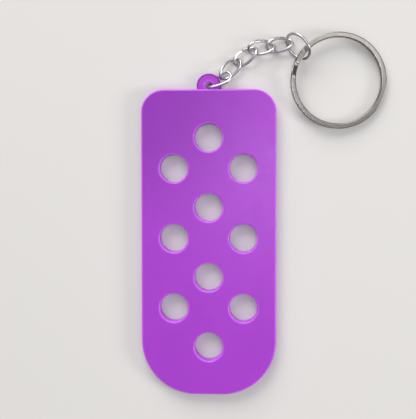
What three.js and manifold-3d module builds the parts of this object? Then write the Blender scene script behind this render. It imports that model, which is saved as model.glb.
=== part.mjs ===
// Charm-holder keychain: a soft plate with ten round holes, a short chain and a split key ring.
// Millimetres. The plate lies on its back on z = 0 with its centre at the origin, and +Y runs
// along the plate towards the eyelet. The chain and the rings lie beside its top edge.
import * as THREE from "three";
import { mergeVertices } from "three/addons/utils/BufferGeometryUtils.js";
import Module from "manifold-3d";

const wasm = await Module();
wasm.setup();

// ---------------------------------------------------------------- driving dimensions

const PLATE_WIDTH = 42;
const PLATE_LENGTH = 95;
const PLATE_THICKNESS = 4;
const TOP_CORNER_RADIUS = 7;
const BOTTOM_CORNER_RADIUS = 17;
const PLATE_EDGE_ROUND = 0.5;

const CHARM_HOLE_RADIUS = 4.35;
const HOLE_PITCH = 21.7; // from one hole to the next in the same column
const CENTRE_COLUMN_TOP = 32.55; // y of the highest hole in the middle column
const CENTRE_COLUMN_COUNT = 4;
const SIDE_COLUMN_X = 10.8;
const SIDE_COLUMN_TOP = 23; // y of the highest hole in each side column
const SIDE_COLUMN_COUNT = 3;

const TAB_RADIUS = 3.8;
const TAB_BOTTOM = 1.1; // above the plate's back face, so that a link can pass under it
const TAB_THICKNESS = 1.2;
const TAB_EDGE_ROUND = 0.3;
const EYELET_RADIUS = 1.15;
const EYELET_ABOVE_PLATE = 1.2; // from the plate's top edge to the eyelet's centre

const WIRE_DIAMETER = 0.9;
const WIRE_SIDES = 8;
const SEAM_GAP = 0.12; // the butt joint where the bent wire's two ends meet
const LINK_HALF_LENGTH = 4; // of the wire's centre line
const LINK_HALF_WIDTH = 2.05;
const LINK_SQUARENESS = 2.5; // superellipse exponent: 2 is an ellipse
const LINK_TWIST = 45; // degrees, at each end of a curb link
const END_LINK_TWIST = -22;
const LINK_STEPS = 36;
const JUMP_RING_RADIUS = 4.46; // of the wire's centre line
const JUMP_RING_STEPS = 36;

const KEY_RING_DIAMETER = 29.6;
const KEY_RING_WIRE_WIDTH = 1.6;
const KEY_RING_WIRE_HEIGHT = 0.95;
const KEY_RING_TURN_GAP = 0.1;
const KEY_RING_CORNER = 0.28;
const KEY_RING_FREE_END_ANGLE = 157; // degrees about the ring's axis
const KEY_RING_RAMP = 21; // degrees in which the wire steps down from one turn to the other
const KEY_RING_END_TUCK = 0.2; // how far the upper free end sits inside the ring's circle
const KEY_RING_TUCK_LENGTH = 34; // degrees over which it leaves the circle
const KEY_RING_STEPS = 120;

// Where each wire piece lies: the centre, the heading about +Z, the lift of its front end and
// the roll about its own length, in degrees.
const LINK_PLACES = [
  { centre: [3.25, 50.25, 2.08], heading: 29, lift: 0, roll: -45.5 },
  { centre: [6.65, 53.95, 1.62], heading: 43.5, lift: -8.5, roll: 9.5 },
  { centre: [11.5, 57.85, 1.46], heading: 33.5, lift: 3.5, roll: -9.5 },
  { centre: [16.35, 60.5, 1.73], heading: 6, lift: -6, roll: -2 },
  { centre: [22, 61.3, 1.42], heading: 9, lift: 2, roll: -2.5 },
];
const JUMP_RING_PLACE = { centre: [27.62, 60.31, 4.37], heading: 138.1, lift: -9.5, roll: -59.7 };
const KEY_RING_CENTRE = [40.05, 50.05, 2.3];
const KEY_RING_TILT = 4.77; // degrees: its chain side is held up by the jump ring
const KEY_RING_TILT_HEADING = 148.12; // the side that is raised

// ---------------------------------------------------------------- materials

const softPlastic = new THREE.MeshStandardMaterial({ color: 0xa14cc6, roughness: 0.45, metalness: 0 });
const nickel = new THREE.MeshStandardMaterial({ color: 0xc9c9cc, roughness: 0.18, metalness: 1 });
const keyRingSteel = new THREE.MeshStandardMaterial({ color: 0xc6c1b6, roughness: 0.26, metalness: 1 });

// ---------------------------------------------------------------- solids

const degrees = THREE.MathUtils.degToRad;

function toSolid(geometry) {
  const bare = geometry.clone();
  bare.deleteAttribute("normal");
  bare.deleteAttribute("uv");
  const merged = mergeVertices(bare, 1e-4);
  const vertProperties = new Float32Array(merged.attributes.position.array);
  const triVerts = new Uint32Array(merged.index.array);
  return new wasm.Manifold(new wasm.Mesh({ numProp: 3, vertProperties, triVerts }));
}

function toGeometry(solid) {
  const mesh = solid.getMesh();
  const geometry = new THREE.BufferGeometry();
  geometry.setAttribute("position", new THREE.BufferAttribute(mesh.vertProperties, 3));
  geometry.setIndex(new THREE.BufferAttribute(mesh.triVerts, 1));
  geometry.computeVertexNormals();
  return geometry;
}

// A flat slab from a drawn outline, rounded at both faces, from z = 0 to its thickness.
function slab(outline, thickness, edgeRound, curveSegments) {
  const geometry = new THREE.ExtrudeGeometry(outline, {
    depth: thickness - 2 * edgeRound,
    bevelThickness: edgeRound,
    bevelSize: edgeRound,
    bevelOffset: -edgeRound,
    bevelSegments: 2,
    curveSegments,
  });
  geometry.translate(0, 0, edgeRound);
  return geometry;
}

function circleOutline(x, y, radius) {
  const circle = new THREE.Path();
  circle.absarc(x, y, radius, 0, 2 * Math.PI, true);
  return circle;
}

// ---------------------------------------------------------------- the plate

function plateOutline() {
  const right = PLATE_WIDTH / 2;
  const top = PLATE_LENGTH / 2;
  const rt = TOP_CORNER_RADIUS;
  const rb = BOTTOM_CORNER_RADIUS;
  const quarter = Math.PI / 2;
  const outline = new THREE.Shape();
  outline.absarc(right - rt, top - rt, rt, 0, quarter, false);
  outline.absarc(rt - right, top - rt, rt, quarter, 2 * quarter, false);
  outline.absarc(rb - right, rb - top, rb, 2 * quarter, 3 * quarter, false);
  outline.absarc(right - rb, rb - top, rb, 3 * quarter, 4 * quarter, false);
  return outline;
}

function charmHoleCentres() {
  const centres = [];
  for (let row = 0; row < CENTRE_COLUMN_COUNT; row += 1) {
    centres.push([0, CENTRE_COLUMN_TOP - row * HOLE_PITCH]);
  }
  for (let row = 0; row < SIDE_COLUMN_COUNT; row += 1) {
    for (const side of [-1, 1]) {
      centres.push([side * SIDE_COLUMN_X, SIDE_COLUMN_TOP - row * HOLE_PITCH]);
    }
  }
  return centres;
}

function charmPlate() {
  const outline = plateOutline();
  for (const [x, y] of charmHoleCentres()) {
    outline.holes.push(circleOutline(x, y, CHARM_HOLE_RADIUS));
  }
  const plate = toSolid(slab(outline, PLATE_THICKNESS, PLATE_EDGE_ROUND, 12));

  const eyeletY = PLATE_LENGTH / 2 + EYELET_ABOVE_PLATE;
  const tabOutline = new THREE.Shape();
  tabOutline.absarc(0, eyeletY, TAB_RADIUS, 0, 2 * Math.PI, false);
  tabOutline.holes.push(circleOutline(0, eyeletY, EYELET_RADIUS));
  const tabGeometry = slab(tabOutline, TAB_THICKNESS, TAB_EDGE_ROUND, 14);
  tabGeometry.translate(0, 0, TAB_BOTTOM);
  return toGeometry(plate.add(toSolid(tabGeometry)));
}

// ---------------------------------------------------------------- wire pieces

// A link's centre line: a superellipse, twisted about its length so that links lie flat.
class LinkCurve extends THREE.Curve {
  constructor(twistDegrees) {
    super();
    this.twist = degrees(twistDegrees);
  }

  getPoint(t, target = new THREE.Vector3()) {
    const gap = SEAM_GAP / (LINK_HALF_LENGTH * 6);
    const angle = Math.PI / 2 + 2 * Math.PI * (gap / 2 + t * (1 - gap));
    const power = 2 / LINK_SQUARENESS;
    const along = Math.sign(Math.cos(angle)) * Math.abs(Math.cos(angle)) ** power;
    const across = Math.sign(Math.sin(angle)) * Math.abs(Math.sin(angle)) ** power;
    const turn = -this.twist * along;
    const y = LINK_HALF_WIDTH * across;
    return target.set(LINK_HALF_LENGTH * along, y * Math.cos(turn), y * Math.sin(turn));
  }
}

class JumpRingCurve extends THREE.Curve {
  getPoint(t, target = new THREE.Vector3()) {
    const gap = SEAM_GAP / (2 * Math.PI * JUMP_RING_RADIUS);
    const angle = 2 * Math.PI * (gap / 2 + t * (1 - gap));
    return target.set(JUMP_RING_RADIUS * Math.cos(angle), JUMP_RING_RADIUS * Math.sin(angle), 0);
  }
}

// The key ring's flat wire: one turn above the other, joined by a short ramp. It starts at the
// upper free end, which is tucked in a little, and runs clockwise to the lower free end.
class KeyRingCurve extends THREE.Curve {
  getPoint(t, target = new THREE.Vector3()) {
    const turnLength = 360 - KEY_RING_RAMP;
    const travelled = t * (2 * turnLength + KEY_RING_RAMP);
    const angle = degrees(KEY_RING_FREE_END_ANGLE - travelled);
    const tuck = THREE.MathUtils.smoothstep(KEY_RING_TUCK_LENGTH - travelled, 0, KEY_RING_TUCK_LENGTH);
    const radius = (KEY_RING_DIAMETER - KEY_RING_WIRE_WIDTH) / 2 - KEY_RING_END_TUCK * tuck;
    const down = THREE.MathUtils.smoothstep(travelled, turnLength, turnLength + KEY_RING_RAMP);
    const step = KEY_RING_WIRE_HEIGHT + KEY_RING_TURN_GAP;
    return target.set(radius * Math.cos(angle), radius * Math.sin(angle), step * (0.5 - down));
  }
}

function roundSection() {
  const section = new THREE.Shape();
  for (let side = 0; side < WIRE_SIDES; side += 1) {
    const angle = (2 * Math.PI * side) / WIRE_SIDES;
    const x = (WIRE_DIAMETER / 2) * Math.cos(angle);
    const y = (WIRE_DIAMETER / 2) * Math.sin(angle);
    if (side === 0) section.moveTo(x, y);
    else section.lineTo(x, y);
  }
  return section;
}

// The key ring's wire is flat: x of the section is its height and y its width.
function flatSection() {
  const x = KEY_RING_WIRE_HEIGHT / 2;
  const y = KEY_RING_WIRE_WIDTH / 2;
  const corner = KEY_RING_CORNER;
  const section = new THREE.Shape();
  section.moveTo(x, y - corner);
  section.lineTo(x - corner, y);
  section.lineTo(corner - x, y);
  section.lineTo(-x, y - corner);
  section.lineTo(-x, corner - y);
  section.lineTo(corner - x, -y);
  section.lineTo(x - corner, -y);
  section.lineTo(x, corner - y);
  return section;
}

function wire(section, extrudePath, steps) {
  return new THREE.ExtrudeGeometry(section, { steps, bevelEnabled: false, extrudePath });
}

function place(mesh, { centre, heading, lift, roll }) {
  mesh.position.set(...centre);
  mesh.rotation.set(degrees(roll), degrees(-lift), degrees(heading), "ZYX");
}

// ---------------------------------------------------------------- assembly

const group = new THREE.Group();

function addPiece(name, geometry, material) {
  const mesh = new THREE.Mesh(geometry, material);
  mesh.name = name;
  group.add(mesh);
  return mesh;
}

addPiece("charm_plate", charmPlate(), softPlastic);

LINK_PLACES.forEach((linkPlace, index) => {
  const twist = index === 0 ? END_LINK_TWIST : LINK_TWIST;
  const geometry = wire(roundSection(), new LinkCurve(twist), LINK_STEPS);
  place(addPiece(`chain_link_${index + 1}`, geometry, nickel), linkPlace);
});

const jumpRing = wire(roundSection(), new JumpRingCurve(), JUMP_RING_STEPS);
place(addPiece("jump_ring", jumpRing, nickel), JUMP_RING_PLACE);

const keyRing = wire(flatSection(), new KeyRingCurve(), KEY_RING_STEPS);
const keyRingMesh = addPiece("split_ring", keyRing, keyRingSteel);
const lean = degrees(KEY_RING_TILT);
const leanHeading = degrees(KEY_RING_TILT_HEADING);
const keyRingAxis = new THREE.Vector3(
  -Math.sin(lean) * Math.cos(leanHeading),
  -Math.sin(lean) * Math.sin(leanHeading),
  Math.cos(lean),
);
keyRingMesh.position.set(...KEY_RING_CENTRE);
keyRingMesh.quaternion.setFromUnitVectors(new THREE.Vector3(0, 0, 1), keyRingAxis);

export default group;
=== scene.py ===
# Charm-holder keychain: the looks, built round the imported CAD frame. Every length is in metres.
# The plate lies on its back on z = 0 with its centre at the origin, and +Y runs towards the chain.
import math

import bmesh
import bpy
from mathutils import Euler, Matrix, Vector, geometry


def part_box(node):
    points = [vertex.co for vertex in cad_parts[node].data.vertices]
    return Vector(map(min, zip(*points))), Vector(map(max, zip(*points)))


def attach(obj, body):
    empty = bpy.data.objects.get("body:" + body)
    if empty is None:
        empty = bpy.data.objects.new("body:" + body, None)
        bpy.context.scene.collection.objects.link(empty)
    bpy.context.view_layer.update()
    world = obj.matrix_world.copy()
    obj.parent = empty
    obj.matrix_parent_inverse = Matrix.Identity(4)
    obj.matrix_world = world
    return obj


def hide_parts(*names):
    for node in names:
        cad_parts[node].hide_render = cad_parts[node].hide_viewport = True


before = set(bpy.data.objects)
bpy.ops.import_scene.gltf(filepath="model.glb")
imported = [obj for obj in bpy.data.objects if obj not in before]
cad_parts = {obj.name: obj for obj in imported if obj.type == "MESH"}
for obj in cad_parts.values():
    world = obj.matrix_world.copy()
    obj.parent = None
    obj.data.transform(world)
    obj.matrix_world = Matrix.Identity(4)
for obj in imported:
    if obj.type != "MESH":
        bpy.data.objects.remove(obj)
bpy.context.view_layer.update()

MM = 0.001

# ---------------------------------------------------------------- dimensions

PLATE_LOW, PLATE_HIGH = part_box("charm_plate")
PLATE_RIGHT = PLATE_HIGH.x
PLATE_TOP = -PLATE_LOW.y  # the plate is symmetric about y = 0, and the tab stands above it
PLATE_THICKNESS = PLATE_HIGH.z
TOP_CORNER_RADIUS = 7 * MM
BOTTOM_CORNER_RADIUS = 17 * MM
LIP_RADIUS = 0.6 * MM
SUPPORT_WIDTH = 0.12 * MM  # a flat band beside each rounded lip, so that the face shades flat
LIP_STEPS = 6  # faces round each quarter-circle lip
WALL_STEPS = 4  # faces down the wall between the upper lip and the lower one
WALL_HIGHLIGHT_SHARE = 0.4  # of the paler lip's painted highlight colour, on the wall, which paints the walls lighter
TOP_CORNER_POINTS = 22
BOTTOM_CORNER_POINTS = 38
STRAIGHT_SPACING = 1.1 * MM  # between the outline's points on its straight runs
FACE_SPACING = 1.5 * MM  # between the points spread over the faces

HOLE_RADIUS = 4.35 * MM
HOLE_POINTS = 64
HOLE_PITCH = 21.7 * MM  # from one hole to the next in the same column
CENTRE_COLUMN_TOP = 32.55 * MM  # y of the highest hole in the middle column
CENTRE_COLUMN_COUNT = 4
SIDE_COLUMN_X = 10.8 * MM
SIDE_COLUMN_TOP = 23 * MM
SIDE_COLUMN_COUNT = 3

TAB_CENTRE_Y = PLATE_TOP + 1.2 * MM
TAB_RADIUS = 3.8 * MM
TAB_BOTTOM = 1.1 * MM
TAB_THICKNESS = 1.2 * MM
TAB_LIP_RADIUS = 0.3 * MM
TAB_SUPPORT_WIDTH = 0.05 * MM
TAB_FACE_SPACING = 0.5 * MM
TAB_POINTS = 72
TAB_FADE = 0.3 * MM  # past the plate's edge, where the plate's purple turns into the tab's
EYELET_RADIUS = 1.15 * MM
EYELET_POINTS = 32
EYELET_HIGHLIGHT_SHARE = 0.2  # of the paler lip's painted highlight colour, beside a charm hole's 1
MERGE_DISTANCE = 0.002 * MM
PLATE_SHARP_ANGLE = 35

WIRE_RADIUS = 0.45 * MM
WIRE_SIDES = 20
WIRE_SHARP_ANGLE = 50
CUT_ROUNDING = 0.09 * MM  # at the rim of each cut end
CUT_STATIONS = (0, 0.01, 0.03, 0.06, 0.1)  # mm from a cut end, where the wire has a section
SEAM_GAP = 0.12 * MM  # the butt joint where a bent wire's two ends meet
LINK_HALF_LENGTH = 4 * MM  # of the wire's centre line
LINK_HALF_WIDTH = 2.05 * MM
LINK_SQUARENESS = 2.5  # superellipse exponent: 2 is an ellipse
LINK_TWIST = 45  # degrees, at each end of a curb link
END_LINK_TWIST = -22  # of the first link, which runs through the eyelet
JUMP_RING_RADIUS = 4.46 * MM  # of the wire's centre line
LOOP_STEPS = 150

# Where each wire piece lies: the centre in mm, the heading about +Z, the lift of its front end
# and the roll about its own length, in degrees.
LINK_PLACES = [
    {"centre": (3.25, 50.25, 2.08), "heading": 29, "lift": 0, "roll": -45.5},
    {"centre": (6.65, 53.95, 1.62), "heading": 43.5, "lift": -8.5, "roll": 9.5},
    {"centre": (11.5, 57.85, 1.46), "heading": 33.5, "lift": 3.5, "roll": -9.5},
    {"centre": (16.35, 60.5, 1.73), "heading": 6, "lift": -6, "roll": -2},
    {"centre": (22, 61.3, 1.42), "heading": 9, "lift": 2, "roll": -2.5},
]
JUMP_RING_PLACE = {"centre": (27.62, 60.31, 4.37), "heading": 138.1, "lift": -9.5, "roll": -59.7}

KEY_RING_CENTRE = Vector((40.05, 50.05, 2.3)) * MM
KEY_RING_TILT = 4.77  # degrees: its chain side is held up by the jump ring
KEY_RING_TILT_HEADING = 148.12  # the side that is raised
KEY_RING_RADIUS = 14 * MM  # of the wire's centre line
KEY_RING_WIRE_WIDTH = 1.6 * MM
KEY_RING_WIRE_HEIGHT = 0.95 * MM
KEY_RING_CORNER = 0.28 * MM
KEY_RING_CORNER_STEPS = 5
KEY_RING_SUPPORT = 0.03 * MM  # beside each corner, so that the flats shade flat
KEY_RING_STEP = 1.05 * MM  # from one turn to the other
KEY_RING_FREE_END = 157  # degrees about the ring's axis
KEY_RING_RAMP = 21  # degrees in which the wire steps down from one turn to the other
KEY_RING_END_TUCK = 0.2 * MM  # how far the upper free end sits inside the ring's circle
KEY_RING_TUCK_LENGTH = 34  # degrees over which it leaves the circle
KEY_RING_END_SLANT = 0.25 * MM  # the upper end is cut aslant: its outer edge starts this late
KEY_RING_SLANT_LENGTH = 1.2 * MM
KEY_RING_STEPS = 520

FLOOR_HALF_SIZE = 3.0
FLOOR_DROP = 0.03 * MM  # so that the floor and the plate's back face don't coincide


# ---------------------------------------------------------------- mesh tools


def smoothstep(x, low, high):
    t = min(1.0, max(0.0, (x - low) / (high - low)))
    return t * t * (3 - 2 * t)


def new_object(name, mesh, material):
    piece = bpy.data.objects.new(name, mesh)
    bpy.context.scene.collection.objects.link(piece)
    mesh.materials.append(material)
    return piece


def add_piece(piece, node, body):
    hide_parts(node)
    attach(piece, body)


def arc(centre, radius, start, stop, count):
    """Points and outward directions along a circular arc, angles in degrees."""
    made = []
    for i in range(count):
        angle = math.radians(start + (stop - start) * i / (count - 1))
        outward = Vector((math.cos(angle), math.sin(angle)))
        made.append((Vector(centre) + outward * radius, outward))
    return made


def fill_straights(contour, spacing):
    """The same closed contour with points added along its long straight runs."""
    made = []
    for (point, outward), (following, _) in zip(contour, contour[1:] + contour[:1]):
        pieces = max(1, round((following - point).length / spacing))
        for i in range(pieces):
            made.append((point.lerp(following, i / pieces), outward))
    return made


def hole(centre, radius, count):
    """A hole's contour: it runs clockwise, and its outward direction is into the hole."""
    ring = arc(centre, radius, 360, 360 / count, count)
    return [(point, -outward) for point, outward in ring]


def disc(centre, radius, count):
    return arc(centre, radius, 0, 360 - 360 / count, count)


def painted_highlight_share(turn, beside_wall):
    """The share of the lip's painted highlight colour: full halfway round, fading to none at the
    face.
    """
    peak = math.sin(2 * turn)
    return WALL_HIGHLIGHT_SHARE + (1 - WALL_HIGHLIGHT_SHARE) * peak if beside_wall else peak


def edge_profile(bottom, top, lip, support):
    """(inset, height, painted highlight share) from the upper face, round the edge, to the lower
    face.
    """
    halfway = LIP_STEPS / 2
    profile = [(lip + support, top, 0.0)]
    for i in range(LIP_STEPS + 1):
        turn = math.radians(90 * i / LIP_STEPS)
        height = top - lip + lip * math.cos(turn)
        profile.append((lip - lip * math.sin(turn), height, painted_highlight_share(turn, i >= halfway)))
    for i in range(1, WALL_STEPS):
        height = top - lip + (bottom - top + 2 * lip) * i / WALL_STEPS
        profile.append((0.0, height, WALL_HIGHLIGHT_SHARE))
    for i in range(LIP_STEPS + 1):
        turn = math.radians(90 * i / LIP_STEPS)
        height = bottom + lip - lip * math.sin(turn)
        profile.append((lip - lip * math.cos(turn), height, painted_highlight_share(turn, i <= halfway)))
    profile.append((lip + support, bottom, 0.0))
    return profile


def inside(point, ring):
    """Whether a 2-D point is inside a closed ring of 2-D points."""
    found = False
    for a, b in zip(ring, ring[1:] + ring[:1]):
        if (a.y > point.y) != (b.y > point.y):
            if point.x < a.x + (point.y - a.y) * (b.x - a.x) / (b.y - a.y):
                found = not found
    return found


def on_face(point, borders):
    """Whether a point is inside the first border and outside the others, which are holes."""
    return inside(point, borders[0]) and not any(inside(point, ring) for ring in borders[1:])


def face_points(borders, spacing):
    """Points spread over a face in staggered rows, kept clear of its borders."""
    row_rise = 0.87 * spacing
    clearance = 0.62 * spacing
    border_points = [point for ring in borders for point in ring]
    left, right = min(p.x for p in borders[0]), max(p.x for p in borders[0])
    low, high = min(p.y for p in borders[0]), max(p.y for p in borders[0])
    made = []
    row = 0
    y = low + spacing / 2
    while y < high:
        x = left + spacing / 2 * (1 + row % 2)
        while x < right:
            point = Vector((x, y))
            clear = all((point - other).length > clearance for other in border_points)
            if clear and on_face(point, borders):
                made.append(point)
            x += spacing
        y += row_rise
        row += 1
    return made


def add_edge(mesh, contour, profile, strength):
    """The edge round one contour. Returns its rings of vertices, from the upper to the lower."""
    # The lip layer holds each vertex's share of the painted lip highlight.
    lip_layer = mesh.verts.layers.float["lip"]
    rings = []
    for inset, height, share in profile:
        ring = []
        for point, outward in contour:
            flat = point - outward * inset
            vertex = mesh.verts.new((flat.x, flat.y, height))
            vertex[lip_layer] = share * strength
            ring.append(vertex)
        rings.append(ring)
    count = len(contour)
    for above, below in zip(rings, rings[1:]):
        for i in range(count):
            j = (i + 1) % count
            mesh.faces.new((above[j], above[i], below[i], below[j]))
    return rings


def add_faces(mesh, upper, lower, bottom, top, spacing):
    """The upper and the lower face, evenly triangulated between their border vertices."""
    borders = [[v.co.xy for v in ring] for ring in upper]
    flat_points, edges = [], []
    for ring in borders:
        first = len(flat_points)
        flat_points.extend(ring)
        edges.extend((first + i, first + (i + 1) % len(ring)) for i in range(len(ring)))
    border_count = len(flat_points)
    flat_points.extend(face_points(borders, spacing))
    points, _, triangles, _, _, _ = geometry.delaunay_2d_cdt(flat_points, edges, [], 1, 1e-9)
    upper_vertices = [v for ring in upper for v in ring]
    lower_vertices = [v for ring in lower for v in ring]
    for point in points[border_count:]:
        upper_vertices.append(mesh.verts.new((point.x, point.y, top)))
        lower_vertices.append(mesh.verts.new((point.x, point.y, bottom)))
    for a, b, c in triangles:
        middle = sum((points[i] for i in (a, b, c)), Vector((0, 0))) / 3
        if on_face(middle, borders):
            mesh.faces.new((upper_vertices[a], upper_vertices[b], upper_vertices[c]))
            mesh.faces.new((lower_vertices[c], lower_vertices[b], lower_vertices[a]))


def rounded_slab(name, outline, holes, bottom, top, lip, support, spacing, hole_highlight_share):
    """A closed flat body: rounded edges round every contour, and evenly triangulated faces."""
    profile = edge_profile(bottom, top, lip, support)
    mesh = bmesh.new()
    mesh.verts.layers.float.new("lip")
    upper, lower = [], []
    for contour in [outline, *holes]:
        strength = 1 if contour is outline else hole_highlight_share
        rings = add_edge(mesh, contour, profile, strength)
        upper.append(rings[0])
        lower.append(rings[-1])
    add_faces(mesh, upper, lower, bottom, top, spacing)
    bmesh.ops.recalc_face_normals(mesh, faces=mesh.faces)
    data = bpy.data.meshes.new(name)
    mesh.to_mesh(data)
    mesh.free()
    return data


def skin(name, rings, stations, perimeter):
    """A closed tube through rings of points. UV u is the way along it and v the way round, in mm."""
    mesh = bmesh.new()
    uv = mesh.loops.layers.uv.new("wire")
    count = len(rings[0])
    around = [perimeter / MM * i / count for i in range(count + 1)]
    rows = [[mesh.verts.new(point) for point in ring] for ring in rings]
    for k in range(len(rows) - 1):
        for i in range(count):
            j = (i + 1) % count
            face = mesh.faces.new((rows[k][i], rows[k][j], rows[k + 1][j], rows[k + 1][i]))
            corners = ((k, i), (k, i + 1), (k + 1, i + 1), (k + 1, i))
            for loop, (station, side) in zip(face.loops, corners):
                loop[uv].uv = (stations[station] / MM, around[side])
    mesh.faces.new(list(reversed(rows[0])))
    mesh.faces.new(rows[-1])
    for face in mesh.faces:
        face.smooth = True
    bmesh.ops.recalc_face_normals(mesh, faces=mesh.faces)
    data = bpy.data.meshes.new(name)
    mesh.to_mesh(data)
    mesh.free()
    data.set_sharp_from_angle(angle=math.radians(WIRE_SHARP_ANGLE))
    return data


def end_rounding(length, radius, total):
    """Scale of the section near a wire's two cut ends."""
    near = min(length, total - length)
    if near >= CUT_ROUNDING:
        return 1.0
    rise = 1 - near / CUT_ROUNDING
    return 1 - (CUT_ROUNDING / radius) * (1 - math.sqrt(max(0.0, 1 - rise * rise)))


def stations_along(points):
    """How far along the path each point is."""
    lengths = [0.0]
    for a, b in zip(points, points[1:]):
        lengths.append(lengths[-1] + (b - a).length)
    return lengths


def with_end_detail(path, steps):
    """Parameters from 0 to 1, with extra ones at both ends for the rounding of the cut."""
    total = stations_along([path(i / steps) for i in range(steps + 1)])[-1]
    extra = [x * MM / total for x in CUT_STATIONS]
    clear = extra[-1] * 1.5  # so that the even steps start well past the extra ones
    middle = [i / steps for i in range(1, steps) if clear < i / steps < 1 - clear]
    return extra + middle + [1 - x for x in reversed(extra)]


def directions_along(points):
    """The path's direction at each point, from its neighbours."""
    directions = []
    for k in range(len(points)):
        before, after = points[max(0, k - 1)], points[min(len(points) - 1, k + 1)]
        directions.append((after - before).normalized())
    return directions


def round_wire(name, path, steps, matrix):
    """A round wire along a path, with rounded cut ends, moved into place by the matrix."""
    points = [path(t) for t in with_end_detail(path, steps)]
    lengths = stations_along(points)
    tangents = directions_along(points)
    side = tangents[0].orthogonal().normalized()
    rings = []
    for k, point in enumerate(points):
        if k:
            side = tangents[k - 1].rotation_difference(tangents[k]) @ side
        side = (side - tangents[k] * side.dot(tangents[k])).normalized()
        other = tangents[k].cross(side)
        radius = WIRE_RADIUS * end_rounding(lengths[k], WIRE_RADIUS, lengths[-1])
        ring = []
        for i in range(WIRE_SIDES):
            angle = 2 * math.pi * i / WIRE_SIDES
            offset = side * math.cos(angle) + other * math.sin(angle)
            ring.append(matrix @ (point + offset * radius))
        rings.append(ring)
    return skin(name, rings, lengths, 2 * math.pi * WIRE_RADIUS)


# ---------------------------------------------------------------- materials

PURPLE = (0.335, 0.037, 0.52)
CLOUD_PURPLE = (0.36, 0.041, 0.545)
# Painted shade: the purple darkens towards the plate's top left, where less light falls on it.
PAINTED_SHADE_PURPLE = (0.265, 0.027, 0.42)
PAINTED_SHADE_CENTRE = (-25 * MM, 50 * MM, 0.0)  # the painted shade is deepest round this place, beyond a corner
PAINTED_SHADE_NEAR = 20 * MM
PAINTED_SHADE_FAR = 50 * MM
# Painted shade: the tab's purple is a darker copy of the plate's, which offsets the light shining
# through the thin tab.
TAB_SHADED_PURPLE = (0.245, 0.01, 0.355)
# Painted highlight: a paler purple on the rounded lips and walls, where the edges catch the light
# and glow.
LIP_HIGHLIGHT_PURPLE = (0.62, 0.17, 0.86)
LIP_HIGHLIGHT_OPACITY = 0.7  # of the lip's painted highlight purple where it is palest
FLOOR_GREY = (0.6, 0.592, 0.575)
FLOOR_CLOUD_GREY = (0.625, 0.617, 0.6)
WORLD_DIM = (0.05, 0.045, 0.06)
WORLD_PALE = (0.8, 0.79, 0.81)


def new_material(name):
    material = bpy.data.materials.new(name)
    material.use_nodes = True
    tree = material.node_tree
    tree.nodes.clear()
    output = tree.nodes.new("ShaderNodeOutputMaterial")
    shader = tree.nodes.new("ShaderNodeBsdfPrincipled")
    tree.links.new(shader.outputs["BSDF"], output.inputs["Surface"])
    return material, tree, shader


def noise(tree, vector, scale, detail=2.0, roughness=0.5):
    made = tree.nodes.new("ShaderNodeTexNoise")
    made.inputs["Scale"].default_value = scale
    made.inputs["Detail"].default_value = detail
    made.inputs["Roughness"].default_value = roughness
    tree.links.new(vector, made.inputs["Vector"])
    return made.outputs["Fac"]


def remap(tree, value, low, high, to_low, to_high):
    made = tree.nodes.new("ShaderNodeMapRange")
    made.inputs["From Min"].default_value = low
    made.inputs["From Max"].default_value = high
    made.inputs["To Min"].default_value = to_low
    made.inputs["To Max"].default_value = to_high
    tree.links.new(value, made.inputs["Value"])
    return made.outputs["Result"]


def mix(tree, factor, first, second):
    """A colour mix. Each colour is a tuple or another node's output."""
    made = tree.nodes.new("ShaderNodeMix")
    made.data_type = "RGBA"
    tree.links.new(factor, made.inputs["Factor"])
    for socket, colour in (("A", first), ("B", second)):
        target = next(s for s in made.inputs if s.name == socket and s.type == "RGBA")
        if isinstance(colour, tuple):
            target.default_value = (*colour, 1)
        else:
            tree.links.new(colour, target)
    return next(s for s in made.outputs if s.type == "RGBA")


def bump(tree, shader, height, distance, strength):
    made = tree.nodes.new("ShaderNodeBump")
    made.inputs["Distance"].default_value = distance
    made.inputs["Strength"].default_value = strength
    tree.links.new(height, made.inputs["Height"])
    tree.links.new(made.outputs["Normal"], shader.inputs["Normal"])


def scaled(tree, vector, factors):
    made = tree.nodes.new("ShaderNodeMapping")
    made.inputs["Scale"].default_value = factors
    tree.links.new(vector, made.inputs["Vector"])
    return made.outputs["Vector"]


def spread(tree, value, low, high):
    """Noise, which stays mostly between 0.3 and 0.7, stretched to run from low to high."""
    return remap(tree, value, 0.3, 0.7, low, high)


def vertex_layer(tree, name):
    made = tree.nodes.new("ShaderNodeAttribute")
    made.attribute_name = name
    return made.outputs["Fac"]


def arithmetic(tree, operation, first, second):
    made = tree.nodes.new("ShaderNodeMath")
    made.operation = operation
    tree.links.new(first, made.inputs[0])
    tree.links.new(second, made.inputs[1])
    return made.outputs["Value"]


def distance_from(tree, vector, place):
    made = tree.nodes.new("ShaderNodeVectorMath")
    made.operation = "DISTANCE"
    made.inputs[1].default_value = place
    tree.links.new(vector, made.inputs[0])
    return made.outputs["Value"]


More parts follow.
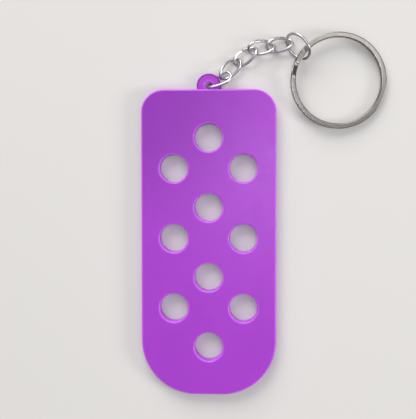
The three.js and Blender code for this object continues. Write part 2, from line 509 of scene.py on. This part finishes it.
def soft_plastic():
    """Satin soft PVC: a slightly cloudy purple, with painted shade that deepens it at the top left,
    a painted highlight that makes its lips and walls paler, and painted shade that darkens the tab.
    """
    material, tree, shader = new_material("soft_plastic")
    where = tree.nodes.new("ShaderNodeTexCoord").outputs["Object"]
    thin = vertex_layer(tree, "thin")

    cloud = noise(tree, where, scale=55, detail=3)
    body = mix(tree, spread(tree, cloud, 0, 1), PURPLE, CLOUD_PURPLE)
    # Painted shade: a darker purple towards the top left corner.
    from_painted_shade = distance_from(tree, where, PAINTED_SHADE_CENTRE)
    body = mix(tree, remap(tree, from_painted_shade, PAINTED_SHADE_NEAR, PAINTED_SHADE_FAR, 1, 0), body, PAINTED_SHADE_PURPLE)
    # Painted shade: the tab takes the darker copy of the purple.
    body = mix(tree, thin, body, TAB_SHADED_PURPLE)
    # Painted highlight: the paler purple on the lips and walls, from the lip layer.
    lip = remap(tree, vertex_layer(tree, "lip"), 0, 1, 0, LIP_HIGHLIGHT_OPACITY)
    tree.links.new(mix(tree, lip, body, LIP_HIGHLIGHT_PURPLE), shader.inputs["Base Color"])

    satin = spread(tree, noise(tree, where, scale=240, detail=3), 0.29, 0.35)
    duller = remap(tree, thin, 0, 1, 0, 0.35)
    tree.links.new(arithmetic(tree, "ADD", satin, duller), shader.inputs["Roughness"])
    shader.inputs["IOR"].default_value = 1.35
    shader.inputs["Subsurface Weight"].default_value = 0.7
    shader.inputs["Subsurface Radius"].default_value = (1.0, 0.3, 0.85)
    shader.inputs["Subsurface Scale"].default_value = 2 * MM
    grain = noise(tree, where, scale=2600, detail=2)
    bump(tree, shader, grain, distance=0.006 * MM, strength=0.35)
    return material


def drawn_wire(name, dark, light, smooth, rough, streak):
    """Plated wire: fine streaks run along it, with soft patches of duller metal."""
    material, tree, shader = new_material(name)
    coordinates = tree.nodes.new("ShaderNodeTexCoord")
    along = scaled(tree, coordinates.outputs["UV"], (0.5, 14, 1))
    lines = noise(tree, along, scale=1, detail=3, roughness=0.6)
    patches = noise(tree, coordinates.outputs["Object"], scale=450, detail=2)
    tree.links.new(mix(tree, spread(tree, patches, 0, 1), dark, light), shader.inputs["Base Color"])
    shader.inputs["Metallic"].default_value = 1.0
    tree.links.new(spread(tree, lines, smooth, rough), shader.inputs["Roughness"])
    bump(tree, shader, lines, distance=0.01 * MM, strength=streak)
    return material


def floor_material():
    material, tree, shader = new_material("pale_floor")
    where = tree.nodes.new("ShaderNodeTexCoord").outputs["Object"]
    cloud = noise(tree, where, scale=3, detail=2)
    tree.links.new(mix(tree, cloud, FLOOR_GREY, FLOOR_CLOUD_GREY), shader.inputs["Base Color"])
    shader.inputs["Roughness"].default_value = 0.75
    return material


PLASTIC = soft_plastic()
NICKEL = drawn_wire(
    "nickel_wire", dark=(0.52, 0.505, 0.53), light=(0.59, 0.58, 0.6),
    smooth=0.29, rough=0.36, streak=0.05,
)
STEEL = drawn_wire(
    "key_ring_steel", dark=(0.21, 0.2, 0.189), light=(0.234, 0.223, 0.211),
    smooth=0.13, rough=0.22, streak=0.06,
)

# ---------------------------------------------------------------- the plate


def plate_outline():
    """Anticlockwise round the plate, from the right side's top corner."""
    rt, rb = TOP_CORNER_RADIUS, BOTTOM_CORNER_RADIUS
    right, top = PLATE_RIGHT, PLATE_TOP
    contour = arc((right - rt, top - rt), rt, 0, 90, TOP_CORNER_POINTS)
    contour += arc((rt - right, top - rt), rt, 90, 180, TOP_CORNER_POINTS)
    contour += arc((rb - right, rb - top), rb, 180, 270, BOTTOM_CORNER_POINTS)
    contour += arc((right - rb, rb - top), rb, 270, 360, BOTTOM_CORNER_POINTS)
    return fill_straights(contour, STRAIGHT_SPACING)


def hole_centres():
    centres = [(0, CENTRE_COLUMN_TOP - row * HOLE_PITCH) for row in range(CENTRE_COLUMN_COUNT)]
    for row in range(SIDE_COLUMN_COUNT):
        y = SIDE_COLUMN_TOP - row * HOLE_PITCH
        centres += [(side * SIDE_COLUMN_X, y) for side in (-1, 1)]
    return centres


def plate_slab():
    holes = [hole(centre, HOLE_RADIUS, HOLE_POINTS) for centre in hole_centres()]
    return rounded_slab(
        "charm_plate_moulding", plate_outline(), holes, bottom=0.0, top=PLATE_THICKNESS,
        lip=LIP_RADIUS, support=SUPPORT_WIDTH, spacing=FACE_SPACING, hole_highlight_share=1,
    )


def tab_slab():
    centre = (0, TAB_CENTRE_Y)
    return rounded_slab(
        "tab", disc(centre, TAB_RADIUS, TAB_POINTS), [hole(centre, EYELET_RADIUS, EYELET_POINTS)],
        bottom=TAB_BOTTOM, top=TAB_BOTTOM + TAB_THICKNESS, lip=TAB_LIP_RADIUS,
        support=TAB_SUPPORT_WIDTH, spacing=TAB_FACE_SPACING, hole_highlight_share=EYELET_HIGHLIGHT_SHARE,
    )


def join_tab(plate):
    """Join the eyelet's tab to the plate, so that the two are one moulding."""
    tab_mesh = tab_slab()
    tab = new_object("tab", tab_mesh, PLASTIC)
    union = plate.modifiers.new("tab", "BOOLEAN")
    union.operation = "UNION"
    union.solver = "EXACT"
    union.object = tab
    graph = bpy.context.evaluated_depsgraph_get()
    joined = bpy.data.meshes.new_from_object(plate.evaluated_get(graph))
    plate.modifiers.clear()
    plate.data = joined
    bpy.data.objects.remove(tab)
    bpy.data.meshes.remove(tab_mesh)
    return joined


def make_plate():
    plate = new_object("charm_plate_moulding", plate_slab(), PLASTIC)
    joined = join_tab(plate)
    mesh = bmesh.new()
    mesh.from_mesh(joined)
    bmesh.ops.remove_doubles(mesh, verts=mesh.verts, dist=MERGE_DISTANCE)
    bmesh.ops.recalc_face_normals(mesh, faces=mesh.faces)
    thin_layer = mesh.verts.layers.float.new("thin")  # 1 on the tab, and 0 on the plate
    for vertex in mesh.verts:
        vertex[thin_layer] = smoothstep(vertex.co.y, PLATE_TOP, PLATE_TOP + TAB_FADE)
    for face in mesh.faces:
        face.smooth = True
    mesh.to_mesh(joined)
    mesh.free()
    joined.set_sharp_from_angle(angle=math.radians(PLATE_SHARP_ANGLE))
    add_piece(plate, "charm_plate", "plate")


make_plate()

# ---------------------------------------------------------------- the chain


def placed(place):
    roll, lift, heading = (math.radians(place[angle]) for angle in ("roll", "lift", "heading"))
    turn = Euler((roll, -lift, heading), "XYZ")
    return Matrix.Translation(Vector(place["centre"]) * MM) @ turn.to_matrix().to_4x4()


def link_path(twist):
    """A link's centre line: a superellipse, twisted about its length so that curb links lie flat."""
    centre_line_length = LINK_HALF_LENGTH * 6  # near enough for the seam's gap

    def point(t):
        gap = SEAM_GAP / centre_line_length
        angle = math.pi / 2 + 2 * math.pi * (gap / 2 + t * (1 - gap))
        power = 2 / LINK_SQUARENESS
        along = math.copysign(abs(math.cos(angle)) ** power, math.cos(angle))
        across = math.copysign(abs(math.sin(angle)) ** power, math.sin(angle))
        turn = -math.radians(twist) * along
        y = LINK_HALF_WIDTH * across
        return Vector((LINK_HALF_LENGTH * along, y * math.cos(turn), y * math.sin(turn)))

    return point


def jump_ring_path(t):
    gap = SEAM_GAP / (2 * math.pi * JUMP_RING_RADIUS)
    angle = 2 * math.pi * (gap / 2 + t * (1 - gap))
    return JUMP_RING_RADIUS * Vector((math.cos(angle), math.sin(angle), 0))


def make_chain():
    for number, place in enumerate(LINK_PLACES, start=1):
        name = f"link_{number}_wire"
        twist = END_LINK_TWIST if number == 1 else LINK_TWIST
        mesh = round_wire(name, link_path(twist), LOOP_STEPS, placed(place))
        link = new_object(name, mesh, NICKEL)
        add_piece(link, f"chain_link_{number}", f"link_{number}")

    mesh = round_wire("jump_ring_wire", jump_ring_path, LOOP_STEPS, placed(JUMP_RING_PLACE))
    jump_ring = new_object("jump_ring_wire", mesh, NICKEL)
    add_piece(jump_ring, "jump_ring", "jump_ring")


make_chain()

# ---------------------------------------------------------------- the split ring


def flat_section():
    """(across, up) round the flat wire's section: four rounded corners, each with its supports."""
    half_width, half_height = KEY_RING_WIRE_WIDTH / 2, KEY_RING_WIRE_HEIGHT / 2
    corner, support = KEY_RING_CORNER, KEY_RING_SUPPORT
    section = []
    for quadrant in range(4):
        start = 90 * quadrant
        sx = 1 if quadrant in (0, 3) else -1
        sy = 1 if quadrant in (0, 1) else -1
        centre = Vector((sx * (half_width - corner), sy * (half_height - corner)))
        first = Vector((math.cos(math.radians(start)), math.sin(math.radians(start))))
        last = Vector((-first.y, first.x))
        section.append(centre + first * corner - last * support)
        for i in range(KEY_RING_CORNER_STEPS + 1):
            angle = math.radians(start + 90 * i / KEY_RING_CORNER_STEPS)
            section.append(centre + corner * Vector((math.cos(angle), math.sin(angle))))
        section.append(centre + last * corner - first * support)
    return section


def key_ring_path(t):
    """Clockwise from the upper free end, down the ramp between the turns, to the lower free end."""
    turn_length = 360 - KEY_RING_RAMP
    travelled = t * (2 * turn_length + KEY_RING_RAMP)
    angle = math.radians(KEY_RING_FREE_END - travelled)
    tuck = smoothstep(KEY_RING_TUCK_LENGTH - travelled, 0, KEY_RING_TUCK_LENGTH)
    radius = KEY_RING_RADIUS - KEY_RING_END_TUCK * tuck
    down = smoothstep(travelled, turn_length, turn_length + KEY_RING_RAMP)
    return Vector((radius * math.cos(angle), radius * math.sin(angle), KEY_RING_STEP * (0.5 - down)))


def key_ring_matrix():
    tilt, heading = math.radians(KEY_RING_TILT), math.radians(KEY_RING_TILT_HEADING)
    across = -math.sin(tilt)
    axis = Vector((across * math.cos(heading), across * math.sin(heading), math.cos(tilt)))
    turn = Vector((0, 0, 1)).rotation_difference(axis)
    return Matrix.Translation(KEY_RING_CENTRE) @ turn.to_matrix().to_4x4()


def make_key_ring():
    matrix = key_ring_matrix()
    points = [key_ring_path(t) for t in with_end_detail(key_ring_path, KEY_RING_STEPS)]
    lengths = stations_along(points)
    section = flat_section()
    rings = []
    for point, length, tangent in zip(points, lengths, directions_along(points)):
        outward = Vector((point.x, point.y, 0)).normalized()
        outward = (outward - tangent * outward.dot(tangent)).normalized()
        up = outward.cross(tangent)
        if up.z < 0:
            up = -up
        scale = end_rounding(length, KEY_RING_WIRE_HEIGHT / 2, lengths[-1])
        slant = KEY_RING_END_SLANT * (1 - smoothstep(length, 0, KEY_RING_SLANT_LENGTH))
        ring = []
        for corner in section:
            slid = tangent * (slant * corner.x / KEY_RING_WIRE_WIDTH * 2)
            ring.append(matrix @ (point + (outward * corner.x + up * corner.y) * scale + slid))
        rings.append(ring)
    perimeter = 2 * (KEY_RING_WIRE_WIDTH + KEY_RING_WIRE_HEIGHT)
    mesh = skin("split_ring_wire", rings, lengths, perimeter)
    key_ring = new_object("split_ring_wire", mesh, STEEL)
    add_piece(key_ring, "split_ring", "split_ring")


make_key_ring()

# ---------------------------------------------------------------- floor, light and camera


def make_floor():
    mesh = bmesh.new()
    bmesh.ops.create_grid(mesh, x_segments=8, y_segments=8, size=FLOOR_HALF_SIZE)
    data = bpy.data.meshes.new("floor")
    mesh.to_mesh(data)
    mesh.free()
    floor = new_object("floor", data, floor_material())
    floor.location.z = -FLOOR_DROP


def area_light(name, place, target, size, power, colour=(1.0, 1.0, 1.0)):
    light = bpy.data.lights.new(name, "AREA")
    light.shape = "RECTANGLE"
    light.size, light.size_y = size
    light.energy = power
    light.color = colour
    holder = bpy.data.objects.new(name, light)
    bpy.context.scene.collection.objects.link(holder)
    holder.location = place
    holder.rotation_euler = (Vector(target) - Vector(place)).to_track_quat("-Z", "Y").to_euler()


def make_lights():
    """Each has a place and a target in metres, a size in metres, a power in watts and a colour."""
    # Two small lights overhead give the gloss on the key ring and on the plate's right side.
    area_light("overhead", (0.2, 0.19, 0.62), (0.04, 0.06, 0), (0.24, 0.16), 0.28, (1.0, 0.99, 0.98))
    area_light("top", (0.04, 0.02, 0.62), (0.02, 0.02, 0), (0.1, 0.1), 0.5)
    # The main light is large and soft, and comes from the left, beyond the plate's top edge.
    area_light("key", (-0.43, 1.35, 0.93), (0, 0, 0), (1.4, 1.2), 29.5, (1.0, 0.98, 0.96))
    # The rim light draws the thin pale line down the plate's right edge.
    area_light("rim", (0.95, -0.15, 0.5), (0, 0, 0), (0.35, 0.35), 4.5)


def make_world():
    """A plain studio: pale overhead, dim towards the horizon and towards +Y."""
    world = bpy.data.worlds.new("studio")
    world.use_nodes = True
    tree = world.node_tree
    tree.nodes.clear()
    output = tree.nodes.new("ShaderNodeOutputWorld")
    background = tree.nodes.new("ShaderNodeBackground")
    direction = tree.nodes.new("ShaderNodeTexCoord").outputs["Generated"]
    split = tree.nodes.new("ShaderNodeSeparateXYZ")
    tree.links.new(direction, split.inputs["Vector"])
    rise = remap(tree, split.outputs["Z"], 0.45, 0.8, 0, 1)
    near = remap(tree, split.outputs["Y"], 0.15, 0.4, 1, 0.3)
    level = arithmetic(tree, "MULTIPLY", rise, near)
    tree.links.new(mix(tree, level, WORLD_DIM, WORLD_PALE), background.inputs["Color"])
    tree.links.new(background.outputs["Background"], output.inputs["Surface"])
    bpy.context.scene.world = world


def make_camera():
    """It looks nearly straight down, from above the plate's upper right part."""
    data = bpy.data.cameras.new("camera")
    data.lens = 67.2
    data.sensor_width = 36
    data.shift_x = -0.05
    data.shift_y = -0.05
    data.clip_start = 0.01
    data.clip_end = 20
    camera = bpy.data.objects.new("camera", data)
    camera.location = Vector((17.9, 22.7, 245.5)) * MM
    camera.rotation_euler = [math.radians(angle) for angle in (-1.41, 2.74, -0.04)]
    bpy.context.scene.collection.objects.link(camera)
    bpy.context.scene.camera = camera


make_floor()
make_world()
make_lights()
make_camera()
bpy.context.scene.view_settings.view_transform = "Standard"
